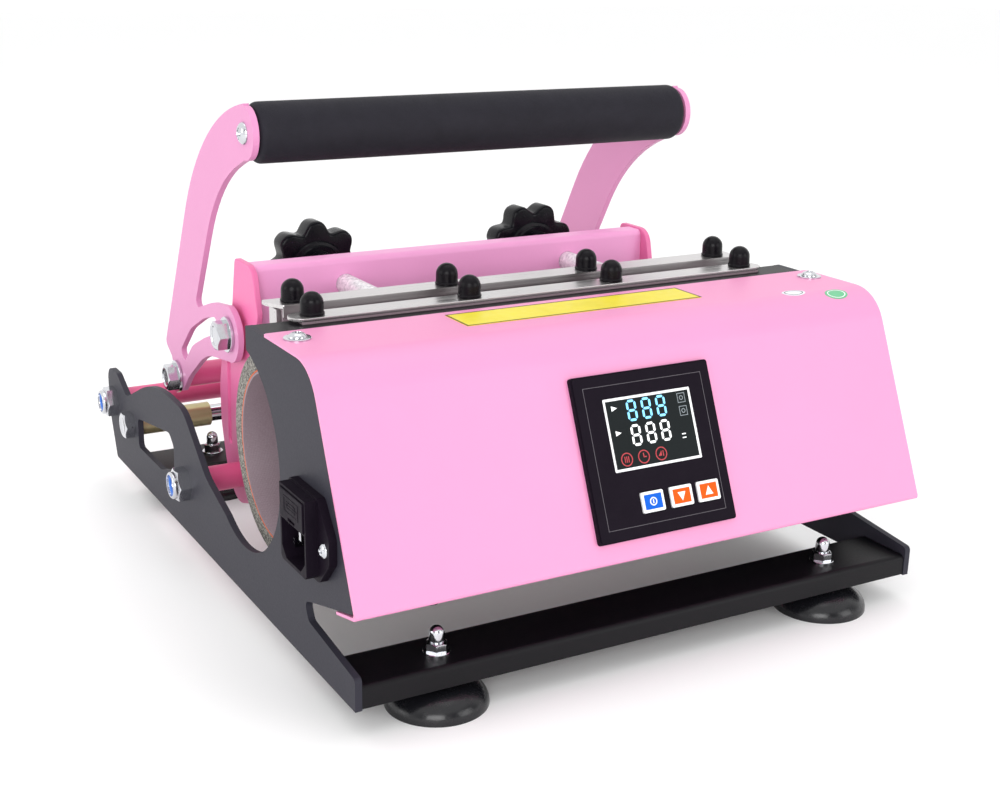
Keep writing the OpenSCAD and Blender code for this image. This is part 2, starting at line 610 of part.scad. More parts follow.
// Arched, so that it clears the cross shaft with the press open
module link_plates() color(deep_pink) placed() for (x = [-link_x, link_x - link_t]) difference() {
    slab(x, link_t) translate(link_pivot) rotate(link_dir) mirror([0, 1]) difference() {
        union() {
            circle(r = 10);
            translate([link_len, 0]) circle(r = 10);
            polygon(rounded([[0, -10, 0], [9, -6, 4], [22, 5, 8], [39, 5, 5], [44, -7, 0],
                [link_len, -10, 0], [link_len + 6, 8, 0], [34, 17, 10], [16, 17, 10], [-2, 9.8, 0]]));
        }
        circle(r = tube_r);
        translate([link_len, 0]) circle(r = tube_r);
    }
}
module link_bolts() color(zinc) placed() both_sides() arm_bolt(arm_pivot, arm_in - 21);

left_side_plate();
right_side_plate();
front_base_channel();
rear_base_channel();
top_shelf();
heat_shield();
bottom_panel();
front_cover();
cover_screws();
controller_bezel();
controller_screen();
controller_housing();
controller_board();
set_button();
down_button();
up_button();
relay_module();
terminal_block();
inlet_housing();
inlet_pins();
fuse_drawer();
inlet_screws();
front_clamp_rail();
front_rail_bolts();
front_rail_caps();
heater_front();
sponge_front();
suction_cups();
foot_studs();
foot_nuts();
link_shaft();
swing_shaft();
shaft_nuts();
cross_shaft();
cross_shaft_sleeves();
cross_shaft_bolts();
label_plate();
oval_labels();
left_pusher_plate();
right_pusher_plate();
pusher_bar();
pusher_tube();
lug_bolts();
adjusting_rods();
rear_clamp_rail();
rear_rail_bolts();
rear_rail_caps();
heater_rear();
sponge_rear();
left_star_knob();
right_star_knob();
left_handle_arm();
right_handle_arm();
grip_tube();
grip_foam();
grip_screws();
link_rear_tube();
link_front_tube();
link_plates();
link_bolts();
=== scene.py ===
"""Looks of the mug heat press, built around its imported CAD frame. Metres, +Z up, panel facing -Y."""

import json
import math

import bmesh
import bpy
from mathutils import Matrix, Vector


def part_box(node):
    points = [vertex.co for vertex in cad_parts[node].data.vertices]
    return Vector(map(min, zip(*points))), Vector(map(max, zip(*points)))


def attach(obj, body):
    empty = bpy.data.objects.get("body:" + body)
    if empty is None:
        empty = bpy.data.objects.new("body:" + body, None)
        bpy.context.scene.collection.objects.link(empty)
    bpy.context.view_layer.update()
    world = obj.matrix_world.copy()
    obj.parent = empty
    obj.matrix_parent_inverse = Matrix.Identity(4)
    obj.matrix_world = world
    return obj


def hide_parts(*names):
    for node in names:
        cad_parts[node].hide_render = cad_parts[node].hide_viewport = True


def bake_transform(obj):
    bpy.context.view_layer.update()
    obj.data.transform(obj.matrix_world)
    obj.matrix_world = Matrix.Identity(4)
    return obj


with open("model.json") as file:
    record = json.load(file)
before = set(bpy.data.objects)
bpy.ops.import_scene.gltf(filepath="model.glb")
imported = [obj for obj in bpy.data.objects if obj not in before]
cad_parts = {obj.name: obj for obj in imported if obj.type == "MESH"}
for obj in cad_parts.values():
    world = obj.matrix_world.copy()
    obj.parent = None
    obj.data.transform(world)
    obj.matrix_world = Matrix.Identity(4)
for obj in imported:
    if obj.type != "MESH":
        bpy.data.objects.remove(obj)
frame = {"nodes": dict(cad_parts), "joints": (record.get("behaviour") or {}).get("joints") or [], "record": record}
NODES = frame["nodes"]
JOINTS = {joint["name"]: joint for joint in frame["joints"]}
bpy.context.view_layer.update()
MM = 0.001

# ---- Camera ----
PHOTO_F = 1484.04
PHOTO_W = 1000
SENSOR = 36.0
CAMERA_AT = Vector((-0.34495, -0.6407, 0.2953))
YAW, TILT, ROLL = (math.radians(a) for a in (29.3, 17.05, 0.71))


def make_camera():
    forward = Vector((math.sin(YAW) * math.cos(TILT), math.cos(YAW) * math.cos(TILT), -math.sin(TILT)))
    right = Vector((math.cos(YAW), -math.sin(YAW), 0))
    up = right.cross(forward)
    right, up = (
        math.cos(ROLL) * right + math.sin(ROLL) * up,
        math.cos(ROLL) * up - math.sin(ROLL) * right,
    )
    data = bpy.data.cameras.new("camera")
    data.sensor_width = SENSOR
    data.lens = SENSOR * PHOTO_F / PHOTO_W
    data.clip_start = 0.01
    camera = bpy.data.objects.new("camera", data)
    bpy.context.scene.collection.objects.link(camera)
    turn = Matrix((right, up, -forward)).transposed()
    camera.matrix_world = Matrix.Translation(CAMERA_AT) @ turn.to_4x4()
    bpy.context.scene.camera = camera


# ---- Materials ----
class Shader:
    """One principled material, with short calls for the procedural nodes that feed it."""

    def __init__(self, name, colour, rough, metal=0.0, **sockets):
        self.material = bpy.data.materials.new(name)
        self.material.use_nodes = True
        self.tree = self.material.node_tree
        self.bsdf = self.tree.nodes["Principled BSDF"]
        self.bsdf.inputs["Base Color"].default_value = (*colour, 1)
        self.bsdf.inputs["Roughness"].default_value = rough
        self.bsdf.inputs["Metallic"].default_value = metal
        for socket, value in sockets.items():
            self.bsdf.inputs[socket.replace("_", " ")].default_value = value
        self.colour = colour
        self.place = self.add("ShaderNodeTexCoord").outputs["Object"]

    def add(self, kind, **values):
        node = self.tree.nodes.new(kind)
        for key, value in values.items():
            setattr(node, key, value)
        return node

    def link(self, out, into):
        self.tree.links.new(out, into)

    def stretched(self, scale):
        mapping = self.add("ShaderNodeMapping")
        mapping.inputs["Scale"].default_value = scale
        self.link(self.place, mapping.inputs["Vector"])
        return mapping.outputs["Vector"]

    def noise(self, scale, detail=3.0, rough=0.5, place=None):
        node = self.add("ShaderNodeTexNoise")
        node.inputs["Scale"].default_value = scale
        node.inputs["Detail"].default_value = detail
        node.inputs["Roughness"].default_value = rough
        self.link(place or self.place, node.inputs["Vector"])
        return node.outputs["Fac"]

    def cells(self, scale, feature="F1", place=None):
        node = self.add("ShaderNodeTexVoronoi", feature=feature)
        node.inputs["Scale"].default_value = scale
        self.link(place or self.place, node.inputs["Vector"])
        return node.outputs["Distance"]

    def wave(self, scale, direction, place=None):
        node = self.add("ShaderNodeTexWave", bands_direction=direction)
        node.inputs["Scale"].default_value = scale
        self.link(place or self.place, node.inputs["Vector"])
        return node.outputs["Fac"]

    def math(self, operation, a, b):
        node = self.add("ShaderNodeMath", operation=operation)
        for socket, value in zip(node.inputs, (a, b)):
            if isinstance(value, (int, float)):
                socket.default_value = value
            else:
                self.link(value, socket)
        return node.outputs[0]

    def range(self, value, low, high, to_low, to_high):
        node = self.add("ShaderNodeMapRange")
        for i, number in enumerate((low, high, to_low, to_high)):
            node.inputs[i + 1].default_value = number
        self.link(value, node.inputs[0])
        return node.outputs[0]

    def mix(self, factor, dark, light):
        node = self.add("ShaderNodeMix", data_type="RGBA")
        self.link(factor, node.inputs[0])
        node.inputs[6].default_value = (*dark, 1)
        node.inputs[7].default_value = (*light, 1)
        return node.outputs[2]

    def tint(self, factor, dark, light):
        self.link(self.mix(factor, dark, light), self.bsdf.inputs["Base Color"])

    def shade(self, factor, low=0.9, high=1.08):
        dark = [c * low for c in self.colour]
        light = [min(1.0, c * high) for c in self.colour]
        self.tint(factor, dark, light)

    def vary_rough(self, factor, low, high):
        self.link(self.range(factor, 0.3, 0.7, low, high), self.bsdf.inputs["Roughness"])

    def bump(self, height, depth, strength=1.0):
        node = self.add("ShaderNodeBump")
        node.inputs["Distance"].default_value = depth
        node.inputs["Strength"].default_value = strength
        previous = self.bsdf.inputs["Normal"].links
        if previous:
            self.link(previous[0].from_socket, node.inputs["Normal"])
        self.link(height, node.inputs["Height"])
        self.link(node.outputs["Normal"], self.bsdf.inputs["Normal"])


def powder_coat(name, colour, rough, grain, depth, **sockets):
    """Oven-cured powder paint: fine orange peel over a slightly uneven gloss."""
    s = Shader(name, colour, rough, **sockets)
    s.shade(s.noise(38, 4), 0.98, 1.015)
    s.vary_rough(s.noise(900, 3), rough - 0.02, rough + 0.03)
    s.bump(s.noise(grain, 2.5), depth)
    return s.material


def plated_steel(name, colour, rough, scratch=0.00001):
    """Zinc or chrome plate: bright metal with fine handling marks and a little haze."""
    s = Shader(name, colour, rough, metal=1.0)
    s.shade(s.noise(1100, 4), 0.93, 1.05)
    s.vary_rough(s.noise(900, 3), rough - 0.02, rough + 0.05)
    s.bump(s.noise(2600, 3), scratch)
    return s.material


def passivated_zinc():
    """Yellow passivated sleeves: soft gold with cloudy patches."""
    s = Shader("yellow_zinc", (0.52, 0.46, 0.25), 0.34, metal=0.6)
    s.shade(s.noise(60, 3), 0.88, 1.10)
    s.bump(s.noise(1800, 2), 0.000005)
    return s.material


def rough_zinc():
    """Hot-dipped rods: pale, with a coarse sparkle."""
    s = Shader("rough_zinc", (0.97, 0.97, 1.0), 0.42, metal=0.4)
    s.shade(s.range(s.noise(520, 4, 0.7), 0.35, 0.62, 0, 1), 0.62, 1.08)
    s.bump(s.noise(700, 3), 0.0001)
    return s.material


def brushed_steel(name, colour, rough, along):
    """Rolled or turned stainless: long fine lines along one axis."""
    s = Shader(name, colour, rough, metal=1.0)
    lines = s.noise(1.0, 5, 0.6, s.stretched(along))
    s.shade(lines, 0.78, 1.10)
    s.vary_rough(lines, rough - 0.07, rough + 0.12)
    s.bump(lines, 0.00003)
    return s.material


def moulded(name, colour, rough, grain=1500, depth=0.00002, **sockets):
    """Injection-moulded plastic with a fine spark-eroded grain."""
    s = Shader(name, colour, rough, **sockets)
    s.shade(s.noise(60, 3), 0.88, 1.12)
    s.vary_rough(s.noise(300, 3), rough - 0.05, rough + 0.06)
    s.bump(s.cells(grain), depth)
    return s.material


def soft_foam(name, colour, rough, pore, depth, **sockets):
    """Closed-cell foam: tiny open pores and cloudy colour."""
    s = Shader(name, colour, rough, **sockets)
    pores = s.cells(pore)
    s.shade(s.noise(90, 5, 0.6), 0.75, 1.25)
    s.bump(s.range(pores, 0.0, 0.45, 0.0, 1.0), depth)
    s.bump(s.noise(260, 3), depth * 2)
    return s.material


def sponge_material():
    s = Shader("silicone_sponge", (0.235, 0.225, 0.205), 0.85)
    speckle = s.noise(1300, 2, 0.5)
    s.tint(s.range(speckle, 0.42, 0.60, 0, 1), (0.085, 0.08, 0.072), (0.33, 0.315, 0.285))
    s.bump(s.cells(900), 0.00025)
    return s.material


def heater_material():
    """Glass-fibre reinforced silicone: a faint square weave under a mottled skin."""
    s = Shader("heater_silicone", (0.25, 0.185, 0.215), 0.5)
    weave = s.math("MULTIPLY", s.wave(420, "X"), s.wave(420, "Z"))
    mottle = s.noise(1500, 3, 0.6)
    s.tint(s.math("ADD", s.math("MULTIPLY", weave, 0.18), s.math("MULTIPLY", mottle, 0.85)),
           (0.19, 0.13, 0.155), (0.31, 0.24, 0.27))
    s.bump(weave, 0.00005)
    s.bump(mottle, 0.00005)
    return s.material


def glow(name, colour, strength):
    s = Shader(name, colour, 0.4)
    s.bsdf.inputs["Emission Color"].default_value = (*colour, 1)
    s.bsdf.inputs["Emission Strength"].default_value = strength
    s.shade(s.noise(800), 0.9, 1.1)
    return s.material


def nylon_material():
    s = Shader("nylon_ring", (0.03, 0.16, 0.62), 0.35)
    s.shade(s.noise(900), 0.8, 1.2)
    return s.material


MATERIALS = {
    "charcoal_steel": powder_coat(
        "charcoal_steel", (0.030, 0.029, 0.040), 0.48, 1500, 0.00004, Specular_IOR_Level=0.14
    ),
    "black_steel": powder_coat(
        "black_steel", (0.0035, 0.003, 0.0045), 0.42, 1300, 0.00004, Specular_IOR_Level=0.2
    ),
    "pink_coat": powder_coat("pink_coat", (0.80, 0.29, 0.515), 0.42, 700, 0.00003),
    # deep_pink_coat is the pink paint made darker and more saturated: painted shade on the parts in this slot
    "deep_pink_coat": powder_coat("deep_pink_coat", (0.76, 0.105, 0.27), 0.38, 700, 0.00003),
    "zinc_plate": plated_steel("zinc_plate", (0.62, 0.63, 0.66), 0.11),
    "stainless": brushed_steel("stainless", (0.66, 0.64, 0.64), 0.30, (6, 900, 900)),
    "yellow_zinc": passivated_zinc(),
    "black_rubber": moulded(
        "black_rubber", (0.007, 0.007, 0.009), 0.24, 700, 0.00002, Specular_IOR_Level=0.45
    ),
    "grip_foam": soft_foam(
        "grip_foam_rubber", (0.018, 0.017, 0.023), 0.6, 1700, 0.00010, Specular_IOR_Level=0.12
    ),
    "sponge": sponge_material(),
    "silicone": heater_material(),
    "black_gloss": moulded("black_gloss", (0.003, 0.003, 0.005), 0.24, 500, 0.00001, Specular_IOR_Level=0.15),
    "black_plastic": moulded("black_plastic", (0.009, 0.006, 0.011), 0.42, Specular_IOR_Level=0.04),
    "screen": moulded("screen_glass", (0.009, 0.012, 0.013), 0.12, 900, 0.000002, Specular_IOR_Level=0.05),
    "button_blue": moulded("button_blue", (0.003, 0.11, 0.60), 0.4, Specular_IOR_Level=0.1),
    "button_orange": moulded("button_orange", (0.76, 0.095, 0.004), 0.4, Specular_IOR_Level=0.1),
    "board_green": moulded("board_green", (0.015, 0.12, 0.05), 0.4),
    "white_plastic": moulded("white_plastic", (0.72, 0.71, 0.67), 0.4),
    "galvanised": plated_steel("galvanised", (0.52, 0.54, 0.56), 0.38, 0.00004),
    "label_yellow": moulded("label_yellow", (0.80, 0.68, 0.012), 0.4, 2500, 0.00001),
    "label_white": moulded("label_white", (0.76, 0.78, 0.83), 0.35, 2500, 0.00001),
}
ROUGH_ZINC = rough_zinc()
NYLON = nylon_material()
BOND = moulded("bond_line", (0.70, 0.14, 0.045), 0.55, 900, 0.00003)
LABEL_GREEN = moulded("label_green", (0.13, 0.47, 0.24), 0.4, 2500, 0.00001)
LABEL_INK = moulded("label_ink", (0.02, 0.018, 0.02), 0.5, 2500, 0.00001)
PRINT_WHITE = moulded("print_white", (0.88, 0.88, 0.90), 0.45, 2500, 0.00001)
RIDGE_LINE = moulded("ridge_line", (0.07, 0.06, 0.075), 0.4, 2500, 0.00001)
CAP_VINYL = moulded("cap_vinyl", (0.005, 0.004, 0.006), 0.3, 900, 0.00002, Specular_IOR_Level=0.14)
LIT_BLUE = glow("lit_blue", (0.20, 0.62, 0.95), 0.55)
LIT_WHITE = glow("lit_white", (0.90, 0.92, 0.93), 0.45)
LIT_RED = glow("lit_red", (0.40, 0.02, 0.03), 0.18)
LIT_GREY = glow("lit_grey", (0.20, 0.23, 0.25), 0.1)
# The pusher plates' coat is the same pink paint made darker and deeper: painted shade
PLATE_PINK_PAINTED_SHADE = powder_coat("plate_pink_painted_shade", (0.80, 0.165, 0.385), 0.42, 700, 0.00003)
# The pusher bar's coat is the same pink paint made lighter: painted light
BAR_PINK_PAINTED_LIGHT = powder_coat("bar_pink_painted_light", (0.88, 0.36, 0.65), 0.40, 700, 0.00003)
# The handle arms' coat is the same pink paint made darker: painted shade
ARM_PINK_PAINTED_SHADE = powder_coat("arm_pink_painted_shade", (0.70, 0.27, 0.50), 0.42, 700, 0.00003)
OWN_LOOK = {
    "adjusting_rods": ROUGH_ZINC, "pusher_bar": BAR_PINK_PAINTED_LIGHT,
    "left_pusher_plate": PLATE_PINK_PAINTED_SHADE, "right_pusher_plate": PLATE_PINK_PAINTED_SHADE,
    "left_handle_arm": ARM_PINK_PAINTED_SHADE, "right_handle_arm": ARM_PINK_PAINTED_SHADE,
    "set_button": PRINT_WHITE, "down_button": PRINT_WHITE, "up_button": PRINT_WHITE,
}

# ---- CAD nodes ----
SLOTS = {part["node"]: part["material_slot"] for part in frame["record"]["subparts"]}
SHEET_NODES = {
    "left_side_plate": 0.35, "right_side_plate": 0.35, "front_cover": 0.35, "front_base_channel": 0.3,
    "rear_base_channel": 0.3, "left_pusher_plate": 0.5, "right_pusher_plate": 0.5, "pusher_bar": 0.6,
    "left_handle_arm": 0.5, "right_handle_arm": 0.5, "link_plates": 0.5, "front_clamp_rail": 0.3,
    "rear_clamp_rail": 0.3, "controller_bezel": 0.25, "inlet_housing": 0.3, "fuse_drawer": 0.3,
    "set_button": 0.2, "down_button": 0.2, "up_button": 0.2, "top_shelf": 0.3, "bottom_panel": 0.3,
}
WELD_MM = 0.01
SHARP = math.radians(33)


def dress_node(name, node):
    """The slot's material, welded facets and, on sheet parts, broken edges that catch the light."""
    mesh = node.data
    mesh.materials.clear()
    mesh.materials.append(OWN_LOOK.get(name) or MATERIALS[SLOTS[name]])
    for polygon in mesh.polygons:
        polygon.use_smooth = True
    for attribute in ("custom_normal", "sharp_edge"):
        if attribute in mesh.attributes:
            mesh.attributes.remove(mesh.attributes[attribute])
    weld = node.modifiers.new("weld", "WELD")
    weld.merge_threshold = WELD_MM * MM
    if name in SHEET_NODES:
        dissolve = node.modifiers.new("dissolve", "DECIMATE")
        dissolve.decimate_type = "DISSOLVE"
        dissolve.angle_limit = math.radians(0.3)
        bevel = node.modifiers.new("bevel", "BEVEL")
        bevel.width = SHEET_NODES[name] * MM
        bevel.segments = 2
        bevel.limit_method = "ANGLE"
        bevel.angle_limit = SHARP
        bevel.use_clamp_overlap = True
    else:
        split = node.modifiers.new("split", "EDGE_SPLIT")
        split.split_angle = SHARP
    node.modifiers.new("normals", "WEIGHTED_NORMAL").keep_sharp = True


def dress_nodes():
    for name, node in NODES.items():
        dress_node(name, node)


# ---- Shape helpers: outlines in millimetres, placed by a matrix ----
UP = Vector((0, 0, 1))
LEFT = Vector((-1, 0, 0))
RIGHT = Vector((1, 0, 0))


def centre(node):
    low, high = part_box(node)
    return (low + high) / 2


def placed(at, x_axis, y_axis, z_axis):
    """Local millimetres to the row frame, with the local axes along these directions."""
    turn = Matrix((x_axis, y_axis, z_axis)).transposed().to_4x4()
    return Matrix.Translation(at) @ turn @ Matrix.Scale(MM, 4)


def along(at, axis):
    """Local millimetres to the row frame, with local +Z along axis."""
    turn = axis.to_track_quat("Z", "Y").to_matrix().to_4x4()
    return Matrix.Translation(at) @ turn @ Matrix.Scale(MM, 4)


class Solid:
    """Gathers the faces of one piece."""

    def __init__(self):
        self.verts = []
        self.faces = []

    def add(self, shape, place):
        verts, faces = shape
        base = len(self.verts)
        self.verts += [place @ Vector(v) for v in verts]
        self.faces += [[base + i for i in face] for face in faces]
        return self

    def piece(self, name, slot, body=None, material=None, stands_for=(), sharp=SHARP):
        mesh = bpy.data.meshes.new(name)
        mesh.from_pydata(self.verts, [], self.faces)
        work = bmesh.new()
        work.from_mesh(mesh)
        bmesh.ops.recalc_face_normals(work, faces=work.faces)
        work.to_mesh(mesh)
        work.free()
        for polygon in mesh.polygons:
            polygon.use_smooth = True
        mesh.set_sharp_from_angle(angle=sharp)
        mesh.materials.append(material or MATERIALS[slot])
        obj = bpy.data.objects.new(name, mesh)
        bpy.context.scene.collection.objects.link(obj)
        if body:
            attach(obj, body)
        if stands_for:
            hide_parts(*stands_for)
        return obj


def arc(x, y, r, start, end, n=8):
    """Points of an arc about (x, y), angles in degrees."""
    steps = [math.radians(start + (end - start) * i / n) for i in range(n + 1)]
    return [(x + r * math.cos(a), y + r * math.sin(a)) for a in steps]


def rings(rows, closed=False):
    """Faces between rows of points that run round and back to their start."""
    verts = []
    index = []
    for row in rows:
        if len(row) == 1:
            index.append([len(verts)])
        else:
            index.append(list(range(len(verts), len(verts) + len(row))))
        verts += row
    faces = []
    pairs = list(zip(index, index[1:]))
    if closed:
        pairs.append((index[-1], index[0]))
    for a, b in pairs:
        n = max(len(a), len(b))
        for k in range(n):
            quad = [a[k % len(a)], a[(k + 1) % len(a)], b[(k + 1) % len(b)], b[k % len(b)]]
            face = list(dict.fromkeys(quad))
            if len(face) > 2:
                faces.append(face)
    return verts, faces


def lathe(profile, n=48, closed=False):
    """Turns (r, z) points round local Z."""
    rows = []
    for r, z in profile:
        if r == 0:
            rows.append([(0, 0, z)])
        else:
            turn = [2 * math.pi * k / n for k in range(n)]
            rows.append([(r * math.cos(a), r * math.sin(a), z) for a in turn])
    return rings(rows, closed)


def hexagon(half, a):
    """Distance to the edge of a hexagon with that half width across flats."""
    return half / math.cos(a % (math.pi / 3) - math.pi / 6)


def hex_block(flats, height, bore=0.0, dish=0.0, z0=0.0, n=72):
    """A hexagon whose corners are cut by a 30 degree cone, with a bore or a dished face."""
    half = flats / 2
    face_r = half * 0.95
    turn = [2 * math.pi * k / n for k in range(n)]

    def ring(radius, z):
        return [(radius(a) * math.cos(a), radius(a) * math.sin(a), z(a)) for a in turn]

    cone = math.tan(math.radians(30))
    rows = [
        ring(lambda a: hexagon(half, a), lambda a: z0),
        ring(lambda a: hexagon(half, a), lambda a: z0 + height - (hexagon(half, a) - face_r) * cone),
        ring(lambda a: face_r, lambda a: z0 + height),
    ]
    if bore:
        rows.append(ring(lambda a: bore + 0.4, lambda a: z0 + height))
        rows.append(ring(lambda a: bore, lambda a: z0 + height - 0.4))
        rows.append(ring(lambda a: bore, lambda a: z0))
        return rings(rows, closed=True)
    rows.append(ring(lambda a: face_r * 0.8, lambda a: z0 + height))
    rows.append(ring(lambda a: face_r * 0.7, lambda a: z0 + height - dish))
    rows.append([(0, 0, z0 + height - dish)])
    rows.insert(0, [(0, 0, z0)])
    return rings(rows)


def washer(inner, outer, thick, z0=0.0):
    edge = 0.2
    return lathe([
        (inner, z0), (outer, z0), (outer, z0 + thick - edge), (outer - edge, z0 + thick), (inner, z0 + thick),
    ], closed=True)


def cross_dome(r, height, z0=0.0, n=72, steps=18):
    """A pan head with a cross recess."""
    rows = [[(0, 0, z0)]]
    half_wide, half_long, deep = r * 0.13, r * 0.52, height * 0.55

    def surface(x, y, lift):
        cut = (abs(x) < half_wide and abs(y) < half_long) or (abs(y) < half_wide and abs(x) < half_long)
        return (x, y, z0 + lift - (deep if cut else 0))

    for i in range(steps):
        radius = r * math.cos(math.pi / 2 * (i / steps) ** 1.4)
        lift = height * math.sqrt(max(0.0, 1 - (radius / r) ** 2))
        turn = [2 * math.pi * k / n for k in range(n)]
        rows.append([surface(radius * math.cos(a), radius * math.sin(a), lift) for a in turn])
    rows.append([surface(0, 0, height)])
    return rings(rows)


def block(x0, x1, y0, y1, z0, z1):
    low = [(x0, y0, z0), (x1, y0, z0), (x1, y1, z0), (x0, y1, z0)]
    high = [(x, y, z1) for x, y, _ in low]
    return low + high, [[3, 2, 1, 0], [4, 5, 6, 7], [0, 1, 5, 4], [1, 2, 6, 5], [2, 3, 7, 6], [3, 0, 4, 7]]


def prism(outline, z0, z1):
    n = len(outline)
    verts = [(x, y, z0) for x, y in outline] + [(x, y, z1) for x, y in outline]
    sides = [[i, (i + 1) % n, n + (i + 1) % n, n + i] for i in range(n)]
    return verts, [list(range(n))[::-1], list(range(n, 2 * n)), *sides]


def border(x0, x1, y0, y1, wide, z0, z1):
    """A flat rectangular frame."""
    outer = [(x0, y0), (x1, y0), (x1, y1), (x0, y1)]
    inner = [(x0 + wide, y0 + wide), (x1 - wide, y0 + wide), (x1 - wide, y1 - wide), (x0 + wide, y1 - wide)]
    rows = [[(x, y, z) for x, y in loop] for loop, z in ((outer, z0), (outer, z1), (inner, z1), (inner, z0))]
    return rings(rows, closed=True)


# ---- Fasteners ----
ARM_BOLT_FLATS = 13
NUT_FLATS = 15
ENDS = ((1, LEFT), (-1, RIGHT))


def joint_at(name):
    return Vector(JOINTS[name]["pos_m"])


def at_x(point, x):
    return Vector((x, point[1], point[2]))


def make_arm_bolts(node, body, point):
    """Hex bolts with a washer through the handle arms; each head is dished."""
    arm_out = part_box("left_handle_arm")[0].x
    bolt_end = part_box(node)[0].x
    head = Solid()
    gap, washer_t = 0.3, 1.4
    tall = (arm_out - bolt_end) / MM - gap - washer_t
    shank = (arm_out - bolt_end) / MM + 14
    for sign, axis in ENDS:
        place = along(at_x(point, sign * arm_out), axis)
        head.add(washer(3.9, 8.8, washer_t, gap), place)
        head.add(hex_block(ARM_BOLT_FLATS, tall, dish=0.5, z0=gap + washer_t), place)
        head.add(lathe([(0, gap + 1), (3.95, gap + 1), (3.95, -shank), (0, -shank)][::-1]), place)
    head.piece(node + "_heads", "zinc_plate", body, stands_for=(node,))


def make_nyloc_nuts():
    """Lock nuts on the link and swing shafts, with a nylon ring round each shaft end."""
    steel, ring, shaft = Solid(), Solid(), Solid()
    plate_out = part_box("left_side_plate")[0].x
    for point in (joint_at("link_swing"), joint_at("pusher_swing")):
        for sign, axis in ENDS:
            place = along(at_x(point, sign * plate_out), axis)
            steel.add(hex_block(NUT_FLATS, 6.3, bore=4.6), place)
            collar = [(4.6, 5.2), (6.8, 5.2), (6.8, 7.2)] + arc(5.6, 7.4, 1.2, 0, 80, 6)
            collar += [(5.4, 8.5), (5.3, 7.4)]
            steel.add(lathe(collar, closed=True), place)
            ring.add(lathe([(3.6, 5.4), (5.4, 5.4), (5.4, 7.5), (4.2, 7.7), (3.6, 7.2)], closed=True), place)
            shaft.add(lathe([(0, 5.6), (3.55, 5.6), (3.55, 6.3), (3.1, 6.8), (0, 6.8)]), place)
    steel.piece("lock_nuts", "zinc_plate", "frame", stands_for=("shaft_nuts",))
    ring.piece("lock_nut_rings", "zinc_plate", "frame", material=NYLON)
    shaft.piece("shaft_ends", "zinc_plate", "frame", material=MATERIALS["galvanised"])


def make_cross_bolts():
    """Dished hex heads at both ends of the cross shaft."""
    heads = Solid()
    plate_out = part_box("left_side_plate")[0].x
    head_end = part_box("cross_shaft_bolts")[0].x
    for sign, axis in ENDS:
        place = along(at_x(centre("cross_shaft"), sign * plate_out), axis)
        heads.add(hex_block(ARM_BOLT_FLATS, (plate_out - head_end) / MM, dish=0.4), place)
    heads.piece("cross_bolt_heads", "zinc_plate", "frame", stands_for=("cross_shaft_bolts",))


def foot_places():
    """X and Y of the four feet."""
    low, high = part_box("foot_studs")
    stud_r = 2.5 * MM
    return [(x, y) for x in (low.x + stud_r, high.x - stud_r) for y in (low.y + stud_r, high.y - stud_r)]


def make_acorn_nuts():
    """A washer and a domed nut on each foot's stud."""
    nuts = Solid()
    low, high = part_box("foot_nuts")
    tall = (high.z - low.z) / MM
    for x, y in foot_places():
        place = along(Vector((x, y, low.z)), UP)
        nuts.add(washer(2.5, 5.7, 0.9), place)
        nuts.add(hex_block(8, 3.9, z0=0.9), place)
        dome = [(0, 4.4), (3.0, 4.4), (3.2, 5.0)] + arc(0, tall - 3.35, 3.25, 4, 88, 10) + [(0, tall)]
        nuts.add(lathe(dome), place)
    nuts.piece("acorn_nuts", "zinc_plate", "frame", stands_for=("foot_nuts",))


def make_cover_screws():
    """Two washered screws on top and two under the front lip."""
    screws = Solid()
    low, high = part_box("cover_screws")
    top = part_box("front_cover")[1].z
    washer_r = 5.8 * MM
    for x in (low.x + washer_r, high.x - washer_r):
        place = along(Vector((x, high.y - washer_r, top)), UP)
        screws.add(washer(2.0, 5.8, 0.8), place)
        screws.add(cross_dome(3.9, 2.3, 0.7), place)
    tilt = math.atan((39.9 - 35.6) / 17.3)
    down = Vector((0, -math.sin(tilt), -math.cos(tilt)))
    verts = [v.co for v in NODES["cover_screws"].data.vertices if v.co.z < (low.z + high.z) / 2]
    lip_y = (min(v.y for v in verts) + max(v.y for v in verts)) / 2
    lip_z = min(v.z for v in verts) + 2.6 * MM
    for side in (-1, 1):
        half = max(abs(v.x) for v in verts) - 3.6 * MM
        screws.add(cross_dome(3.6, 2.5), along(Vector((side * half, lip_y, lip_z)), down))
    screws.piece("cover_screw_heads", "zinc_plate", "frame", stands_for=("cover_screws",))


def make_inlet_screws():
    screws = Solid()
    low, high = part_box("inlet_screws")
    for y in (low.y + 3.2 * MM, high.y - 3.2 * MM):
        place = along(Vector((low.x + 1.8 * MM, y, centre("inlet_screws").z)), LEFT)
        screws.add(cross_dome(3.2, 1.8), place)
        screws.add(lathe([(0, 0.1), (1.5, 0.1), (1.5, -6.5), (0, -6.5)][::-1]), place)
    screws.piece("inlet_screw_heads", "zinc_plate", "frame", stands_for=("inlet_screws",))


def make_grip_screws():
    screws = Solid()
    arm_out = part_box("left_handle_arm")[0].x
    for sign, axis in ENDS:
        place = along(at_x(centre("grip_screws"), sign * arm_out), axis)
        screws.add(cross_dome(5.2, 3.0), place)
        screws.add(lathe([(0, 0.1), (2.95, 0.1), (2.95, -15.5), (0, -15.5)][::-1]), place)
    screws.piece("grip_screw_heads", "zinc_plate", "handle", stands_for=("grip_screws",))


